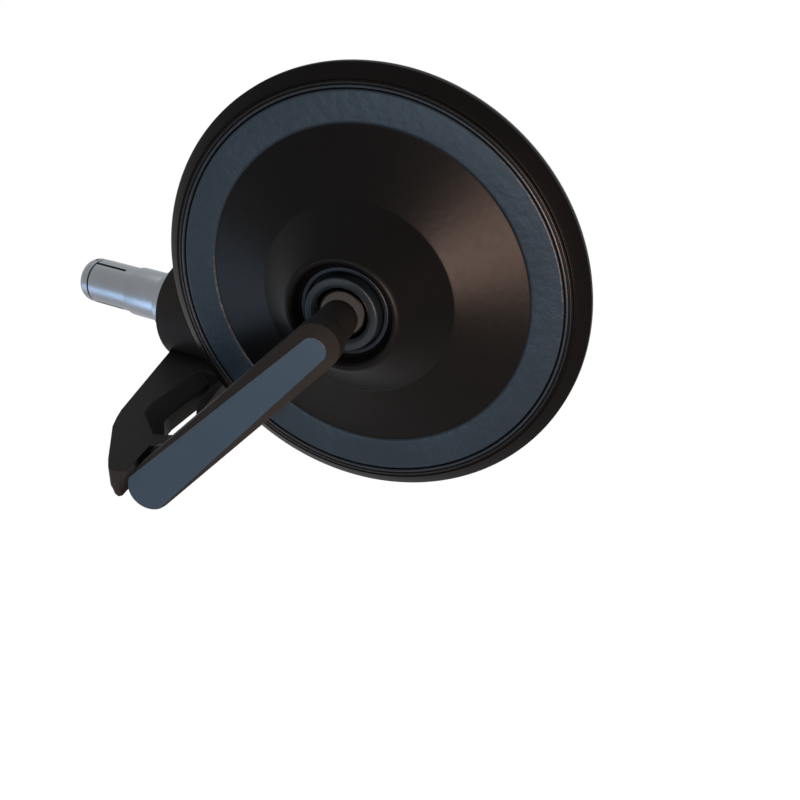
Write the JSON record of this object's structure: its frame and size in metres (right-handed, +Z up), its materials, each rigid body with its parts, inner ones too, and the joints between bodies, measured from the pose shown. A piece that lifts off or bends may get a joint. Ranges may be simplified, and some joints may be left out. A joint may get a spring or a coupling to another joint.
{
  "type": "bar end mirror",
  "caption": "Round convex mirror on a ball joint, carried by two arms from a hub with an expander that fixes it in the open end of a handlebar.",
  "frame": {"origin": "on the bar axis where the handlebar's end face seats against the shoulder spacer", "axes": "+X out along the handlebar, +Z up, glass towards +Y, front of the motorcycle towards -Y"},
  "size_m": [0.1659, 0.0863, 0.108],
  "materials": {
    "bare_aluminium": "bare turned aluminium",
    "bright_steel": "bright machined steel",
    "black_anodised": "satin black anodising",
    "slate_anodised": "satin slate anodising",
    "black_cast": "fine textured black coat on a casting",
    "black_steel": "black oxide steel",
    "bronze": "plain bearing bronze",
    "chrome": "polished chrome",
    "black_plastic": "black acetal",
    "race_plastic": "natural acetal",
    "seal_rubber": "black rubber",
    "pad_plastic": "moulded backing pad",
    "mirror": "silvered convex glass"
  },
  "bodies": {
    "bar_mount": {"expander_sleeve": "bare_aluminium", "cone_nut": "bare_aluminium", "centring_ring": "bare_aluminium", "shoulder_spacer": "bare_aluminium", "hub_bush": "black_anodised", "clamp_bolt": "bright_steel", "bolt_washer": "bright_steel"},
    "lower_arm_body": {"lower_arm": "black_anodised", "elbow_bush": "bronze", "thrust_washer": "black_plastic"},
    "upper_arm_body": {"upper_arm": "slate_anodised", "elbow_stud": "black_steel", "elbow_nut": "bright_steel", "ball_boss": "black_anodised", "ball_stud": "chrome"},
    "race_body": {"ball_race": "race_plastic"},
    "cup_body": {"ball_seat": "black_plastic", "retaining_ring": "slate_anodised"},
    "head_body": {"mirror_shell": "black_cast", "socket_clip": "black_steel", "rim_ring": "black_anodised", "rim_seal": "seal_rubber", "glass_pad": "pad_plastic", "mirror_glass": "mirror"}
  },
  "joints": [
    {"name": "arm_swing", "type": "hinge", "parent": "bar_mount", "child": "lower_arm_body", "pos_m": [0.02, 0, 0], "axis": [1, 0, 0], "range_deg": [-60, 60]},
    {"name": "elbow", "type": "hinge", "parent": "lower_arm_body", "child": "upper_arm_body", "pos_m": [0.05151, -0.05599, -0.01128], "axis": [0.3665, -0.9304, 0], "range_deg": [-30, 30]},
    {"name": "ball_tilt_up", "type": "hinge", "parent": "upper_arm_body", "child": "race_body", "pos_m": [0.08759, -0.02743, 0.026], "axis": [0.9537, 0.3007, 0], "range_deg": [-8, 12]},
    {"name": "ball_tilt_side", "type": "hinge", "parent": "race_body", "child": "cup_body", "pos_m": [0.08759, -0.02743, 0.026], "axis": [0, 0, 1], "range_deg": [-8, 8]},
    {"name": "head_spin", "type": "hinge", "parent": "cup_body", "child": "head_body", "pos_m": [0.08759, -0.02743, 0.026], "axis": [0.3007, -0.9537, 0], "continuous": true}
  ]
}
